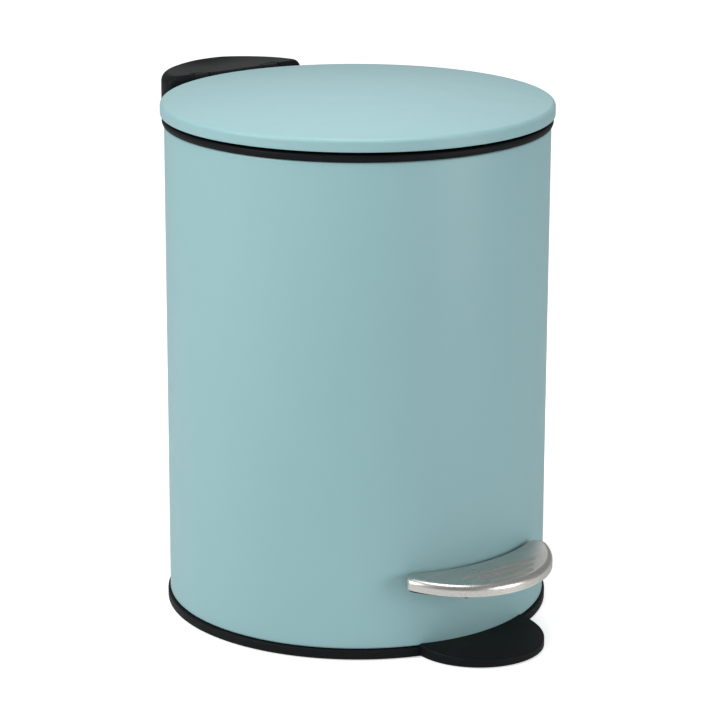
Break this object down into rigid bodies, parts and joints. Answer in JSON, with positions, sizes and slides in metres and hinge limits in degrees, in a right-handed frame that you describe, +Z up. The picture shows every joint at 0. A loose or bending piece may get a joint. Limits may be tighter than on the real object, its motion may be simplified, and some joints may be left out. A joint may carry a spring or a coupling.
{
  "type": "pedal trash can",
  "caption": "Round painted-steel pedal bin with a hinged domed lid, crescent pedal, front foot, rear grip and lift-out inner bucket.",
  "frame": {"origin": "on the bin's vertical axis at floor level", "axes": "+Z up, the pedal points to -Y, the rear grip and lid hinge to +Y, +X to the right seen from the front"},
  "size_m": [0.1736, 0.2271, 0.2346],
  "materials": {
    "teal_paint": "matte pastel powder coat",
    "black_plastic": "satin black",
    "black_rubber": "matte",
    "zinc_steel": "zinc plated",
    "stainless": "brushed",
    "grey_plastic": "fine grain"
  },
  "bodies": {
    "bin": {"body_shell": "teal_paint", "base": "black_plastic", "foot_pad_rear": "black_rubber", "foot_pad_left": "black_rubber", "foot_pad_right": "black_rubber", "foot_pad_front": "black_rubber", "top_rim": "black_plastic", "rear_handle": "black_plastic", "handle_screw_left": "zinc_steel", "handle_screw_right": "zinc_steel", "hinge_pin": "zinc_steel", "lever_pivot_pin": "zinc_steel", "pivot_clip_left": "zinc_steel", "pivot_clip_right": "zinc_steel", "lever_stop_pad": "black_rubber", "rod_guide": "black_plastic"},
    "pedal": {"pedal_cap": "stainless", "pedal_core": "black_plastic", "pedal_lever": "zinc_steel", "pedal_screw_front": "zinc_steel", "pedal_screw_rear": "zinc_steel"},
    "rod": {"push_rod": "zinc_steel", "rod_cap": "black_plastic"},
    "lid": {"lid_shell": "teal_paint", "lid_liner": "black_plastic", "lid_bumper_front": "black_rubber", "lid_bumper_left": "black_rubber", "lid_bumper_right": "black_rubber"},
    "bucket": {"inner_bucket": "grey_plastic"},
    "bail": {"bucket_bail": "zinc_steel", "bail_grip": "black_plastic"}
  },
  "joints": [
    {"name": "pedal_press", "type": "hinge", "parent": "bin", "child": "pedal", "pos_m": [0, -0.025, 0.014], "axis": [1, 0, 0], "range_deg": [0, 9]},
    {"name": "rod_lift", "type": "slide", "parent": "bin", "child": "rod", "axis": [0, 0, 1], "range_m": [0, 0.01668]},
    {"name": "lid_open", "type": "hinge", "parent": "bin", "child": "lid", "pos_m": [0, 0.0905, 0.227], "axis": [-1, 0, 0], "range_deg": [0, 80]},
    {"name": "bucket_lift", "type": "slide", "parent": "bin", "child": "bucket", "axis": [0, 0, 1], "range_m": [0, 0.001]},
    {"name": "bail_swing", "type": "hinge", "parent": "bucket", "child": "bail", "pos_m": [0, 0, 0.2195], "axis": [-1, 0, 0], "range_deg": [0, 2]}
  ],
  "couplings": [
    {"joint": "rod_lift", "follows": "pedal_press", "m_per_rad": 0.10618},
    {"joint": "lid_open", "follows": "pedal_press", "ratio": 8.8888}
  ]
}
